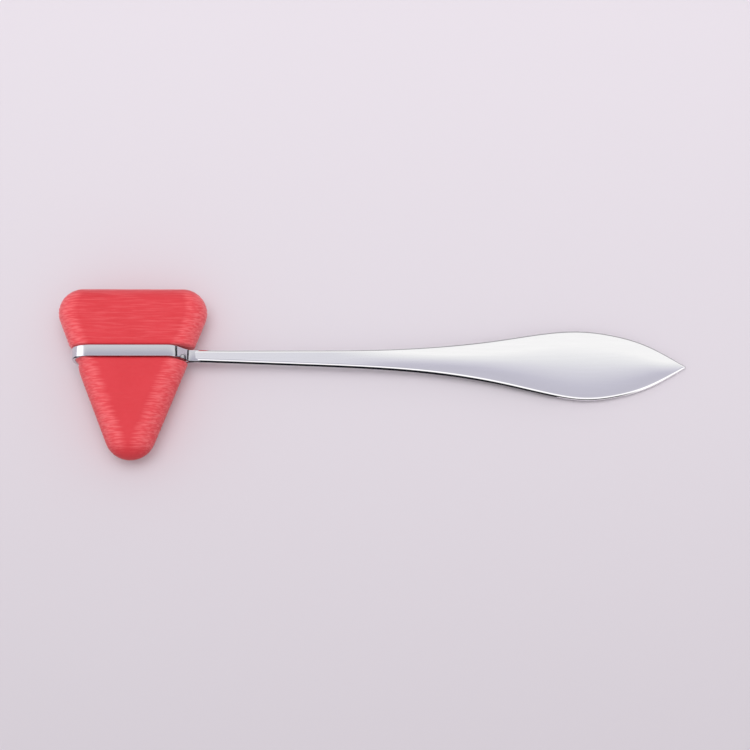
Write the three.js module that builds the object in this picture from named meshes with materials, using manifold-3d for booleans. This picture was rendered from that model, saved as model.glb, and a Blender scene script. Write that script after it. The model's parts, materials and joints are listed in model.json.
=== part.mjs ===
// Triangular-head reflex hammer: a moulded rubber head gripped at its waist by a chromed
// steel strap, and a forged handle that widens from a narrow neck to a pointed leaf.
//
// Design frame, in millimetres: X runs along the handle from the head's axis to the point,
// +Y is towards the head's wide striking edge, -Y towards its narrow one, and Z = 0 is the
// mid-plane of head and handle. At the end the hammer is laid on the table as it comes to
// rest: on the strap, under the head, and on the leaf's belly near its point.

import * as THREE from "three";
import { mergeVertices } from "three/addons/utils/BufferGeometryUtils.js";
import Module from "manifold-3d";

const wasm = await Module();
wasm.setup();

const { PI, cos, sin, tan, sqrt, abs, max, min } = Math;
const radians = THREE.MathUtils.degToRad;

const FIT_GAP = 0.3; // between rubber and strap
const LAP_GAP = 0.15; // film of braze between strap ends and tongue
const OVERSHOOT = 1; // how far a cutting body runs past what it cuts

const HEAD = {
  halfThickness: 6.6,
  wideEdgeY: 20.5,
  narrowEdgeY: -31.9,
  sideAngle: radians(21.4), // each flank leans this much from the Y axis
  halfWidthAtStrap: 17.75, // at Y = 0
  cornerRadius: 7.4, // the two corners of the wide edge
  edgeRadius: 6.0, // rounding from the faces to the flanks
};

// The blunt nose of rubber that fills the strap's loop between its S-bends: its length past
// the flat run, and how its outline leaves the face and meets the tip.
const NOSE = { length: 3.4, faceEase: 1.4, tipEase: 0.4, tipHalfThickness: 2.4 };

const STRAP = {
  width: 3.8,
  thickness: 1.2,
  faceZ: 7.3, // outer face over the head's faces
  farX: -17.9, // outer face round the head's far flank
  wrapRadius: 6.2,
  bendStartX: 10.7, // the flat run ends and the S-bend to the neck begins
  bendEndX: 18.9,
  outerPull: { start: 5.0, end: 4.0 }, // lengths of the S-bend's tangents
  innerPull: { start: 3.8, end: 5.4 },
  lapEndX: 26.0,
  lapThickness: 0.6, // the ends are scarfed thin where they lap the tongue
};

const NECK = { halfWidth: 1.9, halfThickness: 1.15, edgeRadius: 0.6 };
const TONGUE = { startX: 16.6, halfThickness: 0.4, edgeRadius: 0.2 };
const BRAZE_WEDGE = { length: 1.6, mouthHalf: 1.15, rootHalf: 0.5, hollow: 0.6 };

// The handle's outline from above: X, half width, and the Y of its middle. The hand-finished
// leaf has drifted a little towards the head's narrow edge.
const HANDLE_OUTLINE = [
  [26, 2.02, -0.3],
  [48, 2.45, -0.7],
  [70, 3.0, -1.1],
  [92, 4.45, -1.45],
  [112, 7.2, -2.0],
  [127, 10.0, -2.65],
  [136, 10.85, -3.1],
  [146, 9.8, -3.3],
  [157, 6.4, -3.4],
  [167.3, 0.6, -3.6],
];
const LEAF = {
  tipX: 167.9,
  tipY: -3.6,
  halfThickness: 1.25,
  edgeHalfThickness: 0.65,
  fromX: 56, // the neck's even section begins to turn into the leaf's
  fullX: 112, // and has become it
  crownFade: 12, // the crown dies away over this length before the tip
};

// ---- helpers ------------------------------------------------------------------------

// Joins rings of equal length into one closed body, each end closed by a fan to a point.
function loft(rings, startPoint, endPoint) {
  const count = rings[0].length;
  const points = [...rings.flat(), startPoint, endPoint];
  const start = points.length - 2;
  const end = points.length - 1;
  const faces = [];
  rings.slice(1).forEach((_, ring) => {
    for (let i = 0; i < count; i++) {
      const a = ring * count + i;
      const b = ring * count + ((i + 1) % count);
      faces.push(a, b, b + count, a, b + count, a + count);
    }
  });
  const last = (rings.length - 1) * count;
  for (let i = 0; i < count; i++) {
    const next = (i + 1) % count;
    faces.push(next, i, start);
    faces.push(last + i, last + next, end);
  }
  const geometry = new THREE.BufferGeometry().setFromPoints(points);
  geometry.setIndex(faces);
  geometry.computeVertexNormals();
  return geometry;
}

// A shape drawn in X and Z, extruded along Y to a width centred on Y = 0.
function extrudeAcross(shape, width, curveSegments = 8) {
  const geometry = new THREE.ExtrudeGeometry(shape, {
    depth: width,
    bevelEnabled: false,
    curveSegments,
  });
  return geometry.rotateX(PI / 2).translate(0, width / 2, 0);
}

function toSolid(geometry) {
  const bare = geometry.clone();
  bare.deleteAttribute("normal");
  bare.deleteAttribute("uv");
  const merged = mergeVertices(bare, 1e-4);
  return new wasm.Manifold(
    new wasm.Mesh({
      numProp: 3,
      vertProperties: merged.attributes.position.array,
      triVerts: new Uint32Array(merged.index.array),
    }),
  );
}

function toGeometry(solid) {
  const mesh = solid.getMesh();
  const geometry = new THREE.BufferGeometry();
  geometry.setAttribute("position", new THREE.BufferAttribute(mesh.vertProperties, 3));
  geometry.setIndex(new THREE.BufferAttribute(mesh.triVerts, 1));
  geometry.computeVertexNormals();
  return geometry;
}

function piece(name, geometry, material) {
  const mesh = new THREE.Mesh(geometry, new THREE.MeshStandardMaterial(material));
  mesh.name = name;
  return mesh;
}

// ---- rubber head --------------------------------------------------------------------

// The three corner circles of the head's outline, each with the arc that it adds.
function headCorners() {
  const { sideAngle: lean, halfWidthAtStrap, cornerRadius, wideEdgeY, narrowEdgeY } = HEAD;
  const cornerY = wideEdgeY - cornerRadius;
  const cornerX = halfWidthAtStrap + cornerY * tan(lean) - cornerRadius / cos(lean);
  const tipRadius =
    ((halfWidthAtStrap + narrowEdgeY * tan(lean)) * cos(lean)) / (1 - sin(lean));
  return [
    { x: cornerX, y: cornerY, radius: cornerRadius, from: -lean, to: PI / 2 },
    { x: -cornerX, y: cornerY, radius: cornerRadius, from: PI / 2, to: PI + lean },
    { x: 0, y: narrowEdgeY + tipRadius, radius: tipRadius, from: PI + lean, to: 2 * PI - lean },
  ];
}

// The head's outline drawn in by an inset, at a height.
function headRing(inset, z, arcSteps = 10) {
  return headCorners().flatMap(({ x, y, radius, from, to }) =>
    Array.from({ length: arcSteps + 1 }, (_, i) => {
      const angle = from + ((to - from) * i) / arcSteps;
      const reach = radius - inset;
      return new THREE.Vector3(x + reach * cos(angle), y + reach * sin(angle), z);
    }),
  );
}

function headBody(edgeSteps = 6) {
  const { halfThickness, edgeRadius } = HEAD;
  const rings = [];
  for (const side of [-1, 1]) {
    for (let i = 0; i <= edgeSteps; i++) {
      const angle = ((side < 0 ? edgeSteps - i : i) / edgeSteps) * (PI / 2);
      const inset = edgeRadius * (1 - cos(angle));
      const z = side * (halfThickness - edgeRadius + edgeRadius * sin(angle));
      rings.push(headRing(inset, z));
    }
  }
  const onFace = (side) => new THREE.Vector3(0, 0, side * halfThickness);
  return loft(rings, onFace(-1), onFace(1));
}

// Section of the rubber left inside the strap's loop.
function waistShape() {
  const inner = STRAP.thickness + FIT_GAP;
  const top = STRAP.faceZ - inner;
  const left = STRAP.farX + inner;
  const round = STRAP.wrapRadius - inner;
  const { length, faceEase, tipEase, tipHalfThickness: tipZ } = NOSE;
  const noseX = STRAP.bendStartX + length;
  const shape = new THREE.Shape();
  shape.moveTo(STRAP.bendStartX, top);
  shape.lineTo(left + round, top);
  shape.absarc(left + round, top - round, round, PI / 2, PI, false);
  shape.absarc(left + round, round - top, round, PI, 1.5 * PI, false);
  shape.lineTo(STRAP.bendStartX, -top);
  shape.bezierCurveTo(noseX - faceEase, -top, noseX - tipEase, -tipZ, noseX, 0);
  shape.bezierCurveTo(noseX - tipEase, tipZ, noseX - faceEase, top, STRAP.bendStartX, top);
  return shape;
}

function rubberHead() {
  const grooveWidth = STRAP.width + 2 * FIT_GAP;
  const past = 4; // the slice reaches this many half sizes across, well past the head
  const slice = toSolid(
    new THREE.BoxGeometry(past * HEAD.halfWidthAtStrap, grooveWidth, past * HEAD.halfThickness),
  );
  const waist = toSolid(extrudeAcross(waistShape(), grooveWidth + OVERSHOOT));
  const groove = slice.subtract(waist);
  return toGeometry(toSolid(headBody()).subtract(groove));
}

// ---- strap --------------------------------------------------------------------------

// The strap's section in X and Z: a loop round the head, open between its two lapped ends.
function strapShape() {
  const { thickness, faceZ, farX, wrapRadius, bendStartX, bendEndX, lapEndX } = STRAP;
  const neckZ = NECK.halfThickness;
  const lapZ = neckZ - STRAP.lapThickness;
  const innerZ = faceZ - thickness;
  const wrapX = farX + wrapRadius;
  const wrapZ = faceZ - wrapRadius;
  const innerRadius = wrapRadius - thickness;
  const outerA = bendStartX + STRAP.outerPull.start;
  const outerB = bendEndX - STRAP.outerPull.end;
  const innerA = bendStartX + STRAP.innerPull.start;
  const innerB = bendEndX - STRAP.innerPull.end;
  const shape = new THREE.Shape();
  shape.moveTo(lapEndX, neckZ);
  shape.lineTo(bendEndX, neckZ);
  shape.bezierCurveTo(outerB, neckZ, outerA, faceZ, bendStartX, faceZ);
  shape.lineTo(wrapX, faceZ);
  shape.absarc(wrapX, wrapZ, wrapRadius, PI / 2, PI, false);
  shape.absarc(wrapX, -wrapZ, wrapRadius, PI, 1.5 * PI, false);
  shape.lineTo(bendStartX, -faceZ);
  shape.bezierCurveTo(outerA, -faceZ, outerB, -neckZ, bendEndX, -neckZ);
  shape.lineTo(lapEndX, -neckZ);
  shape.lineTo(lapEndX, -lapZ);
  shape.lineTo(bendEndX, -lapZ);
  shape.bezierCurveTo(innerB, -lapZ, innerA, -innerZ, bendStartX, -innerZ);
  shape.lineTo(wrapX, -innerZ);
  shape.absarc(wrapX, -wrapZ, innerRadius, 1.5 * PI, PI, true);
  shape.absarc(wrapX, wrapZ, innerRadius, PI, PI / 2, true);
  shape.lineTo(bendStartX, innerZ);
  shape.bezierCurveTo(innerA, innerZ, innerB, lapZ, bendEndX, lapZ);
  shape.lineTo(lapEndX, lapZ);
  shape.closePath();
  return shape;
}

function headStrap() {
  return extrudeAcross(strapShape(), STRAP.width, 10);
}

// ---- braze fillet -------------------------------------------------------------------

// The wedge of braze in the crotch where the two runs of the strap close on the tongue.
function brazeFillet() {
  const { length, mouthHalf, rootHalf, hollow } = BRAZE_WEDGE;
  const rootX = TONGUE.startX - LAP_GAP;
  const mouthX = rootX - length;
  const wedge = new THREE.Shape();
  wedge.moveTo(rootX, rootHalf);
  wedge.lineTo(mouthX, mouthHalf);
  wedge.quadraticCurveTo(mouthX + hollow, 0, mouthX, -mouthHalf);
  wedge.lineTo(rootX, -rootHalf);
  wedge.closePath();
  return extrudeAcross(wedge, 2 * NECK.halfWidth, 4);
}

// ---- handle -------------------------------------------------------------------------

// One cross-section of the handle: crowned faces that fall to an edge, and round edges.
function handleRing(x, middleY, halfWidth, midHalf, edgeHalf, edgeRadius) {
  const flat = max(0, 1 - edgeRadius / halfWidth);
  const across = [0, 0.4, 0.75, 1].map((share) => share * flat);
  for (const angle of [30, 60].map(radians)) {
    across.push(flat + (1 - flat) * sin(angle));
  }
  const height = (s) => {
    const crown = edgeHalf + (midHalf - edgeHalf) * (1 - s * s);
    const inRound = flat < 1 ? max(0, (abs(s) - flat) / (1 - flat)) : 0;
    return crown * sqrt(1 - inRound * inRound);
  };
  const point = (s, side) => new THREE.Vector3(x, middleY + s * halfWidth, side * height(s));
  const rising = [...across.slice(1).reverse().map((s) => -s), ...across];
  return [
    new THREE.Vector3(x, middleY - halfWidth, 0),
    ...rising.map((s) => point(s, -1)),
    new THREE.Vector3(x, middleY + halfWidth, 0),
    ...rising.reverse().map((s) => point(s, 1)),
  ];
}

function handle(stations = 44) {
  const { lerp, smoothstep } = THREE.MathUtils;
  const shoulderX = STRAP.lapEndX + LAP_GAP;
  const step = 0.01; // the shoulder's face leans this much, so that its rings stay apart
  const outline = new THREE.CatmullRomCurve3(
    HANDLE_OUTLINE.map((row) => new THREE.Vector3(...row)),
    false,
    "catmullrom",
  );
  const { halfThickness: tongueHalf, edgeRadius: tongueEdge, startX } = TONGUE;
  const tongueRing = (x) =>
    handleRing(x, 0, NECK.halfWidth, tongueHalf, tongueHalf, tongueEdge);
  const rings = [tongueRing(startX), tongueRing(shoulderX - step)];
  for (const { x, y: halfWidth, z: middleY } of outline.getPoints(stations)) {
    const leafShare = smoothstep(x, LEAF.fromX, LEAF.fullX);
    const midHalf = lerp(NECK.halfThickness, LEAF.halfThickness, leafShare);
    const edgeHalf = lerp(NECK.halfThickness, LEAF.edgeHalfThickness, leafShare);
    const crownShare = smoothstep(LEAF.tipX - x, 0, LEAF.crownFade);
    const crownHalf = lerp(edgeHalf, midHalf, crownShare);
    const ringX = max(x, shoulderX);
    rings.push(handleRing(ringX, middleY, halfWidth, crownHalf, edgeHalf, NECK.edgeRadius));
  }
  const start = new THREE.Vector3(startX, 0, 0);
  const end = new THREE.Vector3(LEAF.tipX, LEAF.tipY, 0);
  return loft(rings, start, end);
}

// ---- assembly -----------------------------------------------------------------------

const RUBBER_RED = { color: 0xd8434f, roughness: 0.62, metalness: 0 };
const CHROME = { color: 0xe3e3e6, roughness: 0.1, metalness: 1 };
const BRAZE = { color: 0xd9d6cf, roughness: 0.25, metalness: 1 };

const pieces = new THREE.Group();
pieces.add(
  piece("rubber_head", rubberHead(), RUBBER_RED),
  piece("head_strap", headStrap(), CHROME),
  piece("braze_fillet", brazeFillet(), BRAZE),
  piece("handle", handle(), CHROME),
);

// The weight of the handle tips the hammer about the end of the strap's flat run, under the
// head, until the belly of the leaf meets the table.
function restAngle() {
  const { position } = pieces.getObjectByName("handle").geometry.attributes;
  let least = PI / 2;
  for (let i = 0; i < position.count; i++) {
    const reach = position.getX(i) - STRAP.bendStartX;
    if (reach > LEAF.fromX) {
      least = min(least, Math.atan2(STRAP.faceZ + position.getZ(i), reach));
    }
  }
  return least;
}
pieces.rotation.y = restAngle();

// The origin is on the table, under the middle of the hammer's outer box.
const box = new THREE.Box3().setFromObject(pieces, true);
const middle = box.getCenter(new THREE.Vector3());
pieces.position.set(-middle.x, -middle.y, -box.min.z);

const hammer = new THREE.Group();
hammer.add(pieces);

export default hammer;
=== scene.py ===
"""Reflex hammer lying on a pale table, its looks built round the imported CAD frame.

Shapes are worked out in a design frame, in millimetres: X along the handle from the head's
axis, +Y towards the head's wide edge, Z out of the mid-plane. place() gives the matrix that
puts that frame where the CAD head and strap are.
"""

import json
import math

import bmesh
import bpy
import numpy as np
from mathutils import Matrix, Vector, noise


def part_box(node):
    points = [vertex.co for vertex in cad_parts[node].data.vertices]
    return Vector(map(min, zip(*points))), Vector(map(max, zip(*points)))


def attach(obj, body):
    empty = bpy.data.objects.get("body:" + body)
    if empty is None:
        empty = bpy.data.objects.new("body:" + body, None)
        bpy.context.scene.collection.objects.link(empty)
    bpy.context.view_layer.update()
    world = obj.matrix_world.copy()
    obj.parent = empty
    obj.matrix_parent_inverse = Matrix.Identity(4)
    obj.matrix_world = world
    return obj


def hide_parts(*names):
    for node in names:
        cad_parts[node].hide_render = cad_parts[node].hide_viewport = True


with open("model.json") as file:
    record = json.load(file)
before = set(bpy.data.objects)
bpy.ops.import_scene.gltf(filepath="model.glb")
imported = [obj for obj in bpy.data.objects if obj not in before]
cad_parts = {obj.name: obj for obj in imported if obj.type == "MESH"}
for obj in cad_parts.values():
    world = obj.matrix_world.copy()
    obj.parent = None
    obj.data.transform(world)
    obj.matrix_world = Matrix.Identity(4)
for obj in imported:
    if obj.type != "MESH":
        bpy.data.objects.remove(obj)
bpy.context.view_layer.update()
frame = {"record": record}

MM = 0.001

# ---- driving dimensions, millimetres ---------------------------------------------------

# The rubber head: a triangle from above, with rounded corners and rounded flanks.
HEAD_HALF_THICKNESS = 6.6
HEAD_WIDE_Y = 20.5
HEAD_NARROW_Y = -31.9
HEAD_HALF_WIDTH = 17.75  # where the handle's axis crosses it
HEAD_LEAN = math.radians(21.4)  # of each flank, from the Y axis
HEAD_CORNER_RADIUS = 7.4
HEAD_EDGE_ROUND = 6.2
HALF_RING = 76  # points round half of a section
ROW_STEP = 0.15

# The rubber beside the strap: it swells up, and is pinched at the far flank.
STRAP_CLEARANCE = 0.02
LIP_GAP = 0.1
LIP_RADIUS = 0.95
SWELL = 0.15
SWELL_REACH = 2.2
PINCH = 0.9

# The rubber's nose inside the strap's bend, with the two handles of its curve.
NOSE_LENGTH = 3.7
NOSE_TOP_PULL = 1.3
NOSE_TIP_BACK = 0.3
NOSE_TIP_RISE = 2.4

# Moulding lines across the head, and how far their full depth reaches in from the outline.
STRIATION_PITCH = 1.05
STRIATION_FINE_PITCH = 0.57 * STRIATION_PITCH
STRIATION_WANDER = 0.7  # in pitches
STRIATION_DEPTH = 0.06
# These bands also say where paler red is painted on the rubber as sheen.
FLANK_BAND = 3.0
FLANK_BAND_END = 8.0
NARROW_END_FADE = 6
WIDE_END_FADE = 4
WIDE_PART_SHARE = 0.22
WIDE_PART_FROM_Y = 1.5
WIDE_PART_FULL_Y = 4.5

# The strap: flat under and over the head, wrapped round its far flank, bent in to the neck.
STRAP_HALF_WIDTH = 1.8
STRAP_THICKNESS = 1.2
STRAP_EDGE_ROUND = 0.36
STRAP_FACE_Z = 7.3
STRAP_FAR_X = -17.9
STRAP_WRAP_RADIUS = 6.2
STRAP_DRIFT = -0.15  # sideways, from the flat run to the neck
BEND_START_X = 10.7
BEND_END_X = 18.9
OUTER_BEND_PULLS = (5.0, 4.0)
INNER_BEND_PULLS = (3.8, 5.4)
LAP_THICKNESS = 0.6  # of the strap's thinned ends, on the neck
LAP_LENGTH = 1.6
LAP_SINK = 0.3  # of the very end into the neck
LAP_SHOULDER = (0.7, 0.06)  # past the bend's end, and below the neck's face

# The handle: a neck with round edges, which opens into a thinner-edged crowned leaf.
NECK_HALF_THICKNESS = 1.15
NECK_EDGE_ROUND = 1.0
NECK_TWIST = math.radians(1.2)  # the neck is turned this much against the head
LEAF_HALF_THICKNESS = 1.25
LEAF_EDGE_HALF = 0.65
LEAF_EDGE_ROUND = 0.95
LEAF_FROM_X = 56.0
LEAF_FULL_X = 112.0
LEAF_TIP_X = 167.9
CROWN_FADE = 12.0
TIP_ROUND_FROM_X = 167.0
TIP_ROUND = 0.95
HANDLE_START_X = 16.8
HANDLE_START_SHARE = 0.45  # of the full thickness, between the strap's ends
HANDLE_FULL_X = BEND_END_X + 0.2
FINE_UNTIL_X = 22  # its cross-sections are closer together up to here
FINE_FROM_X = 164  # and from here to the point

# The handle from above: X, half width, and the Y of its middle.
HANDLE_OUTLINE = [
    (HANDLE_START_X, 1.9, -0.1),
    (26, 2.02, -0.3),
    (48, 2.45, -0.7),
    (70, 3.0, -1.1),
    (92, 4.45, -1.45),
    (112, 7.2, -2.0),
    (127, 10.0, -2.65),
    (136, 10.85, -3.1),
    (146, 9.8, -3.3),
    (157, 6.4, -3.4),
    (167.3, 0.6, -3.6),
]

# The braze's X, half height and half width: a hollow mouth, then the body under the strap.
FILLET_OUTLINE = [
    (15.9, 0.12, 0.3),
    (15.45, 0.7, 1.0),
    (15.15, 1.12, 1.5),
    (15.05, 1.4, 1.8),
    (15.6, 1.25, 1.85),
    (17.3, 0.75, 1.8),
]

# ---- colours ---------------------------------------------------------------------------

FACE_RED = (0.73, 0.037, 0.052)
FACE_RED_DEEP = (0.69, 0.03, 0.043)
# Painted sheen: the flanks' paler reds stand in for grazing light on the rounded flanks, and the
# palest for highlights along the moulding lines.
FLANK_PAINTED_SHEEN_RED = (0.81, 0.062, 0.078)
FLANK_PAINTED_SHEEN_PALE = (0.9, 0.14, 0.155)
RUBBER_SHEEN_TINT = (1.0, 0.8, 0.8)
HANDLE_TINT = (0.95, 0.95, 0.95)
STRAP_TINT = (0.64, 0.635, 0.675)
TABLE_COLOUR = (0.74, 0.685, 0.745)
CARD_BLACK = (0.01, 0.01, 0.014)
BACKDROP = (0.56, 0.52, 0.56)
PLAIN_LIGHT = (0.66, 0.66, 0.66)
STUDIO_DARK = (0.012, 0.012, 0.016)
STUDIO_WINDOW = (1.8, 1.8, 1.83)

# The studio's reflected bands: degrees north of the zenith, and the colour there.
SKY_BANDS = [
    (-60, (1.15, 1.14, 1.16)),
    (-26, (1.15, 1.14, 1.16)),
    (-12, (0.58, 0.565, 0.65)),
    (1, (0.55, 0.535, 0.625)),
    (5, (0.58, 0.565, 0.66)),
    (10.7, (0.71, 0.70, 0.77)),
    (15, (0.83, 0.83, 0.86)),
    (21, (0.97, 0.965, 0.97)),
    (50, (0.97, 0.955, 0.97)),
    (60, (0.36, 0.35, 0.37)),
]

# ---- stage, metres ---------------------------------------------------------------------

TABLE_SIZE = (8, 8)
LOW_CARD_SIZE = (0.36, 2.0)
LOW_CARD_PLACE = (-0.125, -1.001, 0.0003)
SOFTBOX_SIZE = (1.0, 0.8)
SOFTBOX_PLACE = (0, 0.3, 0.8)
SOFTBOX_SPREAD = math.radians(60)
SOFTBOX_WATTS = 1.3
CAMERA_AIM = (0.00036, 0.0008, 0)
CAMERA_DISTANCE = 0.52
CAMERA_TILT = math.radians(13)
CAMERA_ROLL = math.radians(-0.55)
WIDTH_AT_AIM = 0.2288
SENSOR_WIDTH = 36  # millimetres


# ---- helpers ---------------------------------------------------------------------------


def place():
    """The matrix from the design frame, in millimetres, to the row frame, in metres."""
    mounts = frame["record"]["mounts"]
    face = next(m for m in mounts if m["name"] == "head_front_face")
    slope = math.atan2(face["axis"][0], face["axis"][2])
    head_low, head_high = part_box("rubber_head")
    strap_low, strap_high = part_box("head_strap")
    origin = (head_low + head_high) / 2
    origin.y = (strap_low.y + strap_high.y) / 2
    return Matrix.Translation(origin) @ Matrix.Rotation(slope, 4, "Y") @ Matrix.Scale(MM, 4)


PLACE = place()


def smoothstep(none_at, full_at, value):
    """0 at none_at and before it, 1 at full_at and past it, with a smooth change between."""
    t = np.clip((value - none_at) / (full_at - none_at), 0, 1)
    return t * t * (3 - 2 * t)


def spline_through(x, y, at):
    """A natural cubic spline through points x, y, read at the given positions."""
    gap = np.diff(x)
    slope = np.diff(y) / gap
    count = len(x)
    matrix = np.eye(count)
    change = np.zeros(count)
    for i in range(1, count - 1):
        matrix[i, i - 1 : i + 2] = gap[i - 1], 2 * (gap[i - 1] + gap[i]), gap[i]
        change[i] = 6 * (slope[i] - slope[i - 1])
    bend = np.linalg.solve(matrix, change)
    i = np.clip(np.searchsorted(x, at) - 1, 0, count - 2)
    before_next = x[i + 1] - at
    past_last = at - x[i]
    return (
        (bend[i] * before_next**3 + bend[i + 1] * past_last**3) / (6 * gap[i])
        + (y[i] / gap[i] - bend[i] * gap[i] / 6) * before_next
        + (y[i + 1] / gap[i] - bend[i + 1] * gap[i] / 6) * past_last
    )


def bezier(p0, p1, p2, p3, count):
    """Points along a cubic Bezier curve."""
    t = np.linspace(0, 1, count)[:, None]
    p0, p1, p2, p3 = map(np.array, (p0, p1, p2, p3))
    return (1 - t) ** 3 * p0 + 3 * (1 - t) ** 2 * t * p1 + 3 * (1 - t) * t**2 * p2 + t**3 * p3


def arc(centre, radius, start, end, count):
    """Points along an arc, between two angles in degrees."""
    angle = np.radians(np.linspace(start, end, count))
    return np.stack([centre[0] + radius * np.cos(angle), centre[1] + radius * np.sin(angle)], 1)


def resample(line, count):
    """Points evenly spaced along a line of points."""
    steps = np.linalg.norm(np.diff(line, axis=0), axis=1)
    along = np.concatenate([[0], np.cumsum(steps)])
    at = np.linspace(0, along[-1], count)
    return np.stack([np.interp(at, along, line[:, axis]) for axis in (0, 1)], 1)


def grid_piece(name, rings, material, replaced, relief=None):
    """A closed body through rings of points in the design frame, its two ends capped.

    relief gives how far the surface stands out at a point.
    """
    rows, around, _ = rings.shape
    faces = []
    for r in range(rows - 1):
        for i in range(around):
            a, b = r * around + i, r * around + (i + 1) % around
            faces.append((a, b, b + around, a + around))
    for start in (0, (rows - 1) * around):
        for i in range(around // 2 - 1):
            end = start + around - 1 - i
            faces.append((start + i, start + i + 1, end - 1, end))
    mesh = bpy.data.meshes.new(name)
    mesh.from_pydata(rings.reshape(-1, 3).tolist(), [], faces)
    shape = bmesh.new()
    shape.from_mesh(mesh)
    bmesh.ops.recalc_face_normals(shape, faces=shape.faces)
    if relief:
        shape.normal_update()
        moves = [(vertex, relief(vertex.co) * vertex.normal) for vertex in shape.verts]
        for vertex, move in moves:
            vertex.co += move
    shape.to_mesh(mesh)
    shape.free()
    mesh.transform(PLACE)
    mesh.shade_smooth()
    mesh.materials.append(material)
    obj = bpy.data.objects.new(name, mesh)
    bpy.context.scene.collection.objects.link(obj)
    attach(obj, "root")
    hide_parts(replaced)
    return obj


# ---- rubber head -----------------------------------------------------------------------


def head_half_width(y, inset):
    """Half width of the head's outline, drawn in by an inset, at a place across it."""
    lean, corner = HEAD_LEAN, HEAD_CORNER_RADIUS
    corner_y = HEAD_WIDE_Y - corner
    corner_x = HEAD_HALF_WIDTH + corner_y * math.tan(lean) - corner / math.cos(lean)
    tip = (HEAD_HALF_WIDTH + HEAD_NARROW_Y * math.tan(lean)) * math.cos(lean)
    tip /= 1 - math.sin(lean)
    tip_y = HEAD_NARROW_Y + tip
    side = HEAD_HALF_WIDTH + y * math.tan(lean) - inset / math.cos(lean)
    in_corner = y > corner_y - (corner - inset) * math.sin(lean)
    in_tip = y < tip_y - (tip - inset) * math.sin(lean)
    corner_x = corner_x + np.sqrt(np.maximum((corner - inset) ** 2 - (y - corner_y) ** 2, 0))
    tip_x = np.sqrt(np.maximum((tip - inset) ** 2 - (y - tip_y) ** 2, 0))
    return np.where(in_corner, corner_x, np.where(in_tip, tip_x, side))


def head_section(y):
    """The upper half of the head's free section at y, from its left flank to its right."""
    inset_most = min(HEAD_EDGE_ROUND, HEAD_WIDE_Y - y, y - HEAD_NARROW_Y)
    most = math.acos(1 - inset_most / HEAD_EDGE_ROUND)
    angle = np.linspace(0, most, 40)
    side_x = head_half_width(y, HEAD_EDGE_ROUND * (1 - np.cos(angle)))
    full_round = HEAD_HALF_THICKNESS / HEAD_EDGE_ROUND
    side_z = HEAD_EDGE_ROUND * np.sin(angle) * full_round
    left = np.stack([-side_x, side_z], 1)
    right = np.stack([side_x, side_z], 1)[::-1]
    return resample(np.concatenate([left, right]), HALF_RING)


def waist_section():
    """The upper half of the section inside the strap's loop, in the same order."""
    top = STRAP_FACE_Z - STRAP_THICKNESS - STRAP_CLEARANCE
    wrap_x = STRAP_FAR_X + STRAP_WRAP_RADIUS
    round_radius = STRAP_WRAP_RADIUS - STRAP_THICKNESS - STRAP_CLEARANCE
    nose_x = BEND_START_X + NOSE_LENGTH
    foot = np.array([(wrap_x - round_radius, 0)])
    left = arc((wrap_x, top - round_radius), round_radius, 180, 90, 20)
    nose = bezier(
        (BEND_START_X, top),
        (nose_x - NOSE_TOP_PULL, top),
        (nose_x - NOSE_TIP_BACK, NOSE_TIP_RISE),
        (nose_x, 0),
        20,
    )
    return resample(np.concatenate([foot, left, nose]), HALF_RING)


def head_rows():
    """Places across the head, each with its share of the free section over the waist."""
    ends = HEAD_EDGE_ROUND * (1 - np.cos(np.radians(np.linspace(2.5, 87.5, 26))))
    turn = np.radians(np.linspace(0, 90, 12))
    lip = STRAP_HALF_WIDTH + LIP_GAP + LIP_RADIUS * (1 - np.cos(turn))
    narrow_side = np.arange(HEAD_NARROW_Y + ends[-1] + ROW_STEP, -lip[-1], ROW_STEP)
    wide_side = np.arange(lip[-1] + ROW_STEP, HEAD_WIDE_Y - ends[-1], ROW_STEP)
    rows = [(y, 1) for y in HEAD_NARROW_Y + ends]
    rows += [(y, 1) for y in narrow_side]
    rows += list(zip(-lip[::-1], np.sin(turn)[::-1]))
    rows += list(zip(lip, np.sin(turn)))
    rows += [(y, 1) for y in wide_side]
    rows += [(y, 1) for y in HEAD_WIDE_Y - ends[::-1]]
    return rows


def flank_share(point):
    """1 on the head's rounded flanks, a little on the wide part's faces, 0 on the rest; it deepens
    the moulding lines and places the painted sheen.
    """
    x, y, _ = point
    inward = float(head_half_width(y, 0.0)) - abs(x)
    on_flank = float(smoothstep(FLANK_BAND_END, FLANK_BAND, inward))
    on_flank *= float(smoothstep(HEAD_NARROW_Y, HEAD_NARROW_Y + NARROW_END_FADE, y))
    on_flank *= float(smoothstep(HEAD_WIDE_Y, HEAD_WIDE_Y - WIDE_END_FADE, y))
    on_wide_part = WIDE_PART_SHARE * float(smoothstep(WIDE_PART_FROM_Y, WIDE_PART_FULL_Y, y))
    return max(on_flank, on_wide_part)


def striation(point):
    """How far the moulded surface stands out: fine wavy lines, deeper on the flanks.

    The noise that bends the lines, and fades them in patches, is in cycles per millimetre.
    """
    x, y, z = point
    wander = noise.noise(Vector((x * 0.05, y * 0.1, z * 0.1))) * STRIATION_WANDER
    line = math.sin(2 * math.pi * (y / STRIATION_PITCH + wander))
    fine_line = math.sin(2 * math.pi * (y / STRIATION_FINE_PITCH - 3 * wander))
    patch = 0.6 + 0.9 * noise.noise(Vector((x * 0.25, y * 0.7, z * 0.25 + 7)))
    share = 0.1 + 0.9 * flank_share(point)
    return STRIATION_DEPTH * (line + 0.5 * fine_line) * max(patch, 0) * share


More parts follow.
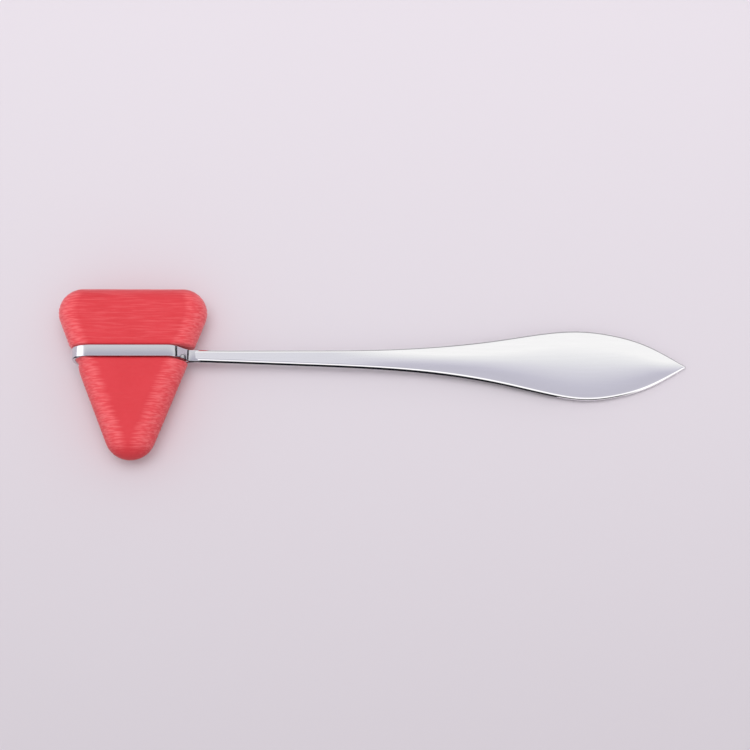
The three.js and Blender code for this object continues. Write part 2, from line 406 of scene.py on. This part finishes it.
def make_head(material):
    """The rubber block, drawn in to a waist under the strap; its "flank" attribute guides its colour,
    where paler red is painted as sheen.
    """
    waist = waist_section()
    rings = []
    for y, share in head_rows():
        upper = head_section(y)
        swell = math.exp(-(((abs(y) - STRAP_HALF_WIDTH) / SWELL_REACH) ** 2))
        upper[:, 1] *= 1 + SWELL * swell / HEAD_HALF_THICKNESS
        if y < 0:
            upper[:, 0] += PINCH * swell * smoothstep(0.3, 1, -upper[:, 0] / abs(upper[0, 0]))
        upper = waist + (upper - waist) * share
        lower = (upper * (1, -1))[-2:0:-1]
        ring = np.insert(np.concatenate([upper, lower]), 1, y, axis=1)
        rings.append(ring)
    rings = np.array(rings)
    head = grid_piece("moulded_head", rings, material, "rubber_head", striation)
    flank = head.data.attributes.new("flank", "FLOAT", "POINT")
    flank.data.foreach_set("value", [flank_share(point) for point in rings.reshape(-1, 3)])


# ---- strap -----------------------------------------------------------------------------


def half_loop(depth, neck, pulls):
    """The upper half of the strap at a depth under its face, from the neck to the far flank."""
    face = STRAP_FACE_Z - depth
    pull_start, pull_end = pulls
    wrap = (STRAP_FAR_X + STRAP_WRAP_RADIUS, STRAP_FACE_Z - STRAP_WRAP_RADIUS)
    shoulder, shoulder_sink = LAP_SHOULDER
    lap = [
        (BEND_END_X + LAP_LENGTH, neck - LAP_SINK),
        (BEND_END_X + shoulder, neck - shoulder_sink),
    ]
    bend = bezier(
        (BEND_END_X, neck),
        (BEND_END_X - pull_end, neck),
        (BEND_START_X + pull_start, face),
        (BEND_START_X, face),
        70,
    )
    run = np.stack([np.linspace(BEND_START_X, wrap[0], 24), np.full(24, face)], 1)
    turn = arc(wrap, STRAP_WRAP_RADIUS - depth, 90, 180, 40)
    return np.concatenate([lap, bend, run[1:-1], turn])


def make_strap(material):
    """A band with round edges, from the neck's upper face round the head to its lower one."""
    outer_half = half_loop(0, NECK_HALF_THICKNESS, OUTER_BEND_PULLS)
    inner_half = half_loop(STRAP_THICKNESS, NECK_HALF_THICKNESS - LAP_THICKNESS, INNER_BEND_PULLS)
    outer = np.concatenate([outer_half, (outer_half * (1, -1))[::-1]])
    inner = np.concatenate([inner_half, (inner_half * (1, -1))[::-1]])
    corner_turn = np.radians(np.linspace(0, 90, 7))
    rings = []
    for (out_x, out_z), (in_x, in_z) in zip(outer, inner):
        thick = math.hypot(out_x - in_x, out_z - in_z)
        middle = STRAP_DRIFT * smoothstep(BEND_START_X, BEND_END_X, out_x)
        radius = min(STRAP_EDGE_ROUND, 0.45 * thick)
        reach = STRAP_HALF_WIDTH - radius
        corners = [
            (reach, thick - radius, 0),
            (-reach, thick - radius, 90),
            (-reach, radius, 180),
            (reach, radius, 270),
        ]
        ring = []
        for across, rise, start in corners:
            for angle in corner_turn + math.radians(start):
                y = middle + across + radius * math.cos(angle)
                out = (rise + radius * math.sin(angle)) / thick
                ring.append((in_x + (out_x - in_x) * out, y, in_z + (out_z - in_z) * out))
        rings.append(ring)
    grid_piece("chrome_strap", np.array(rings), material, "head_strap")


# ---- handle ----------------------------------------------------------------------------


def handle_ring(x, middle, half_width, mid_half, edge_half, edge_round):
    """One cross-section: a crowned face each side, falling to round edges."""
    flat = max(0.0, 1 - edge_round / half_width)
    in_round = flat + (1 - flat) * np.sin(np.radians(np.linspace(0, 90, 15)))
    across = np.concatenate([np.linspace(0, flat, 14)[:-1], in_round])
    crown = edge_half + (mid_half - edge_half) * (1 - across**2)
    into_edge = np.clip((across - flat) / (1 - flat), 0, 1)
    height = crown * np.sqrt(1 - into_edge**2)
    rising = np.concatenate([-across[:0:-1], across]) * half_width + middle
    level = np.concatenate([height[:0:-1], height])
    upper = np.stack([np.full(len(rising), x), rising, level], 1)
    lower = (upper * (1, 1, -1))[::-1]
    return np.concatenate([upper, lower[1:-1]])


def handle_stations():
    """Places along the handle, closer together at the joint and towards the point."""
    near = np.linspace(HANDLE_START_X, FINE_UNTIL_X, 26)
    along = np.linspace(FINE_UNTIL_X, FINE_FROM_X, 300)[1:]
    quarter_turn = np.linspace(0, math.pi / 2, 30)[1:-1]
    last = LEAF_TIP_X - (LEAF_TIP_X - FINE_FROM_X) * (1 - np.sin(quarter_turn))
    return np.concatenate([near, along, last, [LEAF_TIP_X - 0.004]])


def thickness_share(x):
    """Share of the full thickness: less between the strap's ends and over the round point."""
    past = max(0.0, (x - TIP_ROUND_FROM_X) / TIP_ROUND)
    share = HANDLE_START_SHARE
    share += (1 - HANDLE_START_SHARE) * smoothstep(HANDLE_START_X, HANDLE_FULL_X, x)
    return share * math.sqrt(max(1 - past**2, 0.01))


def make_handle(material):
    """Neck, leaf and point in one forging, with its thickness changing along the way."""
    outline_x, outline_half, outline_middle = np.array(HANDLE_OUTLINE).T
    point_x = outline_x[-1]
    stations = handle_stations()
    half_widths = spline_through(outline_x, outline_half, np.minimum(stations, point_x))
    middles = spline_through(outline_x, outline_middle, np.minimum(stations, point_x))
    rings = []
    for x, half_width, middle in zip(stations, half_widths, middles):
        if x > point_x:
            half_width *= math.sqrt(max(1 - ((x - point_x) / (LEAF_TIP_X - point_x)) ** 2, 1e-4))
        leaf = smoothstep(LEAF_FROM_X, LEAF_FULL_X, x)
        edge = NECK_HALF_THICKNESS + (LEAF_EDGE_HALF - NECK_HALF_THICKNESS) * leaf
        mid = NECK_HALF_THICKNESS + (LEAF_HALF_THICKNESS - NECK_HALF_THICKNESS) * leaf
        mid = edge + (mid - edge) * smoothstep(0, CROWN_FADE, LEAF_TIP_X - x)
        edge_round = NECK_EDGE_ROUND + (LEAF_EDGE_ROUND - NECK_EDGE_ROUND) * leaf
        share = thickness_share(x)
        ring = handle_ring(x, middle, half_width, mid * share, edge * share, edge_round)
        ring[:, 2] += (ring[:, 1] - middle) * NECK_TWIST * (1 - leaf)
        rings.append(ring)
    grid_piece("leaf_handle", np.array(rings), material, "handle")


# ---- braze fillet ----------------------------------------------------------------------


def make_fillet(material):
    """A meniscus of plated braze in the crotch between the strap's two runs."""
    angle = np.radians(np.arange(0, 360, 10))
    rings = []
    for x, height, width in FILLET_OUTLINE:
        y = width * np.sign(np.cos(angle)) * np.abs(np.cos(angle)) ** 0.5
        z = height * np.sign(np.sin(angle)) * np.abs(np.sin(angle)) ** 0.5
        rings.append(np.stack([np.full(len(angle), x), y, z], 1))
    grid_piece("braze_joint", np.array(rings), material, "braze_fillet")


# ---- nodes -----------------------------------------------------------------------------


def grey(value):
    """A grey, as a colour."""
    return (value, value, value)


def node_material(name):
    """A new material, with its nodes, its links and its main shader."""
    material = bpy.data.materials.new(name)
    material.use_nodes = True
    nodes, links = material.node_tree.nodes, material.node_tree.links
    return material, nodes, links, nodes["Principled BSDF"]


def noise_node(nodes, links, coords, scale, detail, stretch=(1, 1, 1)):
    """Noise over the object's own coordinates, in cycles per metre."""
    mapping = nodes.new("ShaderNodeMapping")
    mapping.inputs["Scale"].default_value = stretch
    links.new(coords.outputs["Object"], mapping.inputs["Vector"])
    texture = nodes.new("ShaderNodeTexNoise")
    texture.inputs["Scale"].default_value = scale
    texture.inputs["Detail"].default_value = detail
    links.new(mapping.outputs["Vector"], texture.inputs["Vector"])
    return texture.outputs["Fac"]


def ramp_node(nodes, links, source, stops):
    """A colour for each value of the source, from stops of position and colour."""
    ramp = nodes.new("ShaderNodeValToRGB")
    elements = ramp.color_ramp.elements
    while len(elements) < len(stops):
        elements.new(0.5)
    for element, (position, colour) in zip(elements, stops):
        element.position = position
        element.color = (*colour, 1)
    links.new(source, ramp.inputs["Fac"])
    return ramp.outputs["Color"]


def rise_node(nodes, links, source, start, end):
    """0 up to start, 1 from end on."""
    return ramp_node(nodes, links, source, [(start, grey(0)), (end, grey(1))])


def fall_node(nodes, links, source, start, end):
    """1 up to start, 0 from end on."""
    return ramp_node(nodes, links, source, [(start, grey(1)), (end, grey(0))])


def mix_node(nodes, links, factor, low, high):
    """A mix of two colours, each a plain colour or another node's output."""
    mix = nodes.new("ShaderNodeMixRGB")
    for socket, value in zip(mix.inputs, (factor, low, high)):
        if isinstance(value, tuple):
            socket.default_value = (*value, 1)
        else:
            links.new(value, socket)
    return mix.outputs["Color"]


def math_node(nodes, links, operation, *values):
    """One sum, whose values are numbers or other nodes' outputs."""
    node = nodes.new("ShaderNodeMath")
    node.operation = operation
    for socket, value in zip(node.inputs, values):
        if isinstance(value, (int, float)):
            socket.default_value = value
        else:
            links.new(value, socket)
    return node.outputs[0]


def bump_node(nodes, links, height, strength, distance):
    """A normal that follows a height, over a distance in metres."""
    bump = nodes.new("ShaderNodeBump")
    bump.inputs["Strength"].default_value = strength
    bump.inputs["Distance"].default_value = distance
    links.new(height, bump.inputs["Height"])
    return bump.outputs["Normal"]


# ---- materials -------------------------------------------------------------------------


def rubber_material():
    """Matt red rubber with a cloudy colour, and painted sheen on its moulded flanks: a paler red,
    with paler streaks as painted highlights along the moulding lines.
    """
    material, nodes, links, shader = node_material("red_rubber")
    coords = nodes.new("ShaderNodeTexCoord")
    flank = nodes.new("ShaderNodeAttribute")
    flank.attribute_name = "flank"
    cloud = noise_node(nodes, links, coords, 90, 3)
    face_colour = ramp_node(nodes, links, cloud, [(0.3, FACE_RED_DEEP), (0.7, FACE_RED)])
    streaks = noise_node(nodes, links, coords, 2400, 3, stretch=(0.06, 1, 0.3))
    # Painted sheen: paler red on the flanks, with the palest streaks as painted highlights on the
    # moulding lines.
    painted_sheen_colour = ramp_node(nodes, links, streaks, [(0.42, FLANK_PAINTED_SHEEN_RED), (0.62, FLANK_PAINTED_SHEEN_PALE)])
    # The streaks move the border between the plain red and the painted sheen, so that it is ragged.
    ragged = math_node(nodes, links, "MULTIPLY_ADD", streaks, 0.8, -0.4)
    ragged = math_node(nodes, links, "ADD", ragged, flank.outputs["Fac"])
    ragged = rise_node(nodes, links, ragged, 0.15, 0.8)
    colour = mix_node(nodes, links, ragged, face_colour, painted_sheen_colour)
    links.new(colour, shader.inputs["Base Color"])
    dust = noise_node(nodes, links, coords, 900, 4)
    roughness = ramp_node(nodes, links, dust, [(0.3, grey(0.46)), (0.75, grey(0.6))])
    links.new(roughness, shader.inputs["Roughness"])
    normal = bump_node(nodes, links, streaks, strength=0.4, distance=0.00006)
    links.new(normal, shader.inputs["Normal"])
    shader.inputs["Specular IOR Level"].default_value = 0.5
    shader.inputs["Sheen Weight"].default_value = 0.3
    shader.inputs["Sheen Roughness"].default_value = 0.35
    shader.inputs["Sheen Tint"].default_value = (*RUBBER_SHEEN_TINT, 1)
    return material


def chrome_material(name, tint, rough_low, rough_high):
    """Bright plate: faint polishing streaks along the part and a little haze."""
    material, nodes, links, shader = node_material(name)
    shader.inputs["Metallic"].default_value = 1.0
    coords = nodes.new("ShaderNodeTexCoord")
    streak = noise_node(nodes, links, coords, 1500, 4, stretch=(0.04, 1, 1))
    haze = noise_node(nodes, links, coords, 160, 3)
    low = tuple(0.985 * channel for channel in tint)
    colour = ramp_node(nodes, links, streak, [(0.35, low), (0.65, tint)])
    links.new(colour, shader.inputs["Base Color"])
    roughness = ramp_node(nodes, links, haze, [(0.3, grey(rough_low)), (0.7, grey(rough_high))])
    links.new(roughness, shader.inputs["Roughness"])
    normal = bump_node(nodes, links, streak, strength=0.06, distance=0.000004)
    links.new(normal, shader.inputs["Normal"])
    return material


def matt_material(name, colour):
    """A plain surface of the stage, with no gloss at all."""
    material, _, _, shader = node_material(name)
    shader.inputs["Base Color"].default_value = (*colour, 1)
    shader.inputs["Roughness"].default_value = 1.0
    shader.inputs["Specular IOR Level"].default_value = 0.0
    return material


# ---- stage -----------------------------------------------------------------------------


def plane(name, size, location, material):
    """A level sheet of the stage, centred on its location."""
    half_x, half_y = size[0] / 2, size[1] / 2
    corners = [(-half_x, -half_y, 0), (half_x, -half_y, 0), (half_x, half_y, 0), (-half_x, half_y, 0)]
    mesh = bpy.data.meshes.new(name)
    mesh.from_pydata(corners, [], [(0, 1, 2, 3)])
    mesh.materials.append(material)
    obj = bpy.data.objects.new(name, mesh)
    obj.location = location
    bpy.context.scene.collection.objects.link(obj)
    return obj


def make_table():
    """The pale floor."""
    plane("table", TABLE_SIZE, (0, 0, 0), matt_material("table_top", TABLE_COLOUR))


def make_low_card():
    """A black card lying south of the hammer that only reflections see."""
    card = plane("low_card", LOW_CARD_SIZE, LOW_CARD_PLACE, matt_material("low_card", CARD_BLACK))
    card.visible_camera = False
    card.visible_diffuse = False
    card.visible_shadow = False


def arch(degrees):
    """Where a direction that leans this far north of the zenith falls on the sky's ramps."""
    return 0.5 + degrees / 180


def sky_colours(nodes, links):
    """What gloss reflects: bands, dark low in the south and east, and a window in the west."""
    coords = nodes.new("ShaderNodeTexCoord")
    axes = nodes.new("ShaderNodeSeparateXYZ")
    links.new(coords.outputs["Generated"], axes.inputs["Vector"])
    east, north, up = axes.outputs
    lean = math_node(nodes, links, "ARCTAN2", north, up)
    lean = math_node(nodes, links, "MULTIPLY_ADD", lean, 1 / math.pi, 0.5)
    bands = ramp_node(nodes, links, lean, [(arch(degrees), colour) for degrees, colour in SKY_BANDS])
    low_south = fall_node(nodes, links, lean, arch(-60), arch(-52))
    sideways = math_node(nodes, links, "ABSOLUTE", east)
    near_south = fall_node(nodes, links, sideways, 0.42, 0.55)
    dark_south = math_node(nodes, links, "MULTIPLY", low_south, near_south)
    far_east = rise_node(nodes, links, east, 0.8, 0.88)
    low = fall_node(nodes, links, up, 0.28, 0.34)
    dark_east = math_node(nodes, links, "MULTIPLY", far_east, low)
    dark = math_node(nodes, links, "MAXIMUM", dark_south, dark_east)
    shaded = mix_node(nodes, links, dark, bands, STUDIO_DARK)
    west = math_node(nodes, links, "MULTIPLY", east, -1)
    window = rise_node(nodes, links, west, 0.62, 0.76)
    return mix_node(nodes, links, window, shaded, STUDIO_WINDOW)


def make_world():
    """Soft even studio light, with the sky's bands in reflections and a plain backdrop."""
    world = bpy.data.worlds.new("studio")
    bpy.context.scene.world = world
    world.use_nodes = True
    nodes, links = world.node_tree.nodes, world.node_tree.links
    seen = nodes.new("ShaderNodeLightPath")
    sky = sky_colours(nodes, links)
    light = mix_node(nodes, links, seen.outputs["Is Glossy Ray"], PLAIN_LIGHT, sky)
    backdrop = mix_node(nodes, links, seen.outputs["Is Camera Ray"], light, BACKDROP)
    links.new(backdrop, nodes["Background"].inputs["Color"])


def make_overhead_light():
    """A broad softbox above the table, a little towards the head's wide edge."""
    data = bpy.data.lights.new("softbox", "AREA")
    data.shape = "RECTANGLE"
    data.size, data.size_y = SOFTBOX_SIZE
    data.spread = SOFTBOX_SPREAD
    data.energy = SOFTBOX_WATTS
    lamp = bpy.data.objects.new("softbox", data)
    lamp.location = SOFTBOX_PLACE
    lamp.visible_glossy = False
    bpy.context.scene.collection.objects.link(lamp)


def make_camera():
    """The photograph's viewing angle: nearly overhead, leaning a little to the south."""
    data = bpy.data.cameras.new("camera")
    data.sensor_width = SENSOR_WIDTH
    data.lens = SENSOR_WIDTH * CAMERA_DISTANCE / WIDTH_AT_AIM
    data.clip_start = 0.01
    data.clip_end = 50
    camera = bpy.data.objects.new("camera", data)
    towards_camera = Vector((0, -math.sin(CAMERA_TILT), math.cos(CAMERA_TILT)))
    camera.location = Vector(CAMERA_AIM) + CAMERA_DISTANCE * towards_camera
    look = Matrix.Rotation(CAMERA_TILT, 3, "X") @ Matrix.Rotation(CAMERA_ROLL, 3, "Z")
    camera.rotation_euler = look.to_euler()
    bpy.context.scene.collection.objects.link(camera)
    bpy.context.scene.camera = camera


# ---- the scene -------------------------------------------------------------------------

make_camera()
bpy.context.scene.view_settings.view_transform = "Standard"

rubber = rubber_material()
handle_chrome = chrome_material("chrome_handle", HANDLE_TINT, 0.04, 0.08)
strap_chrome = chrome_material("chrome_strap", STRAP_TINT, 0.1, 0.16)

make_head(rubber)
make_strap(strap_chrome)
make_handle(handle_chrome)
make_fillet(handle_chrome)

make_table()
make_world()
make_low_card()
make_overhead_light()
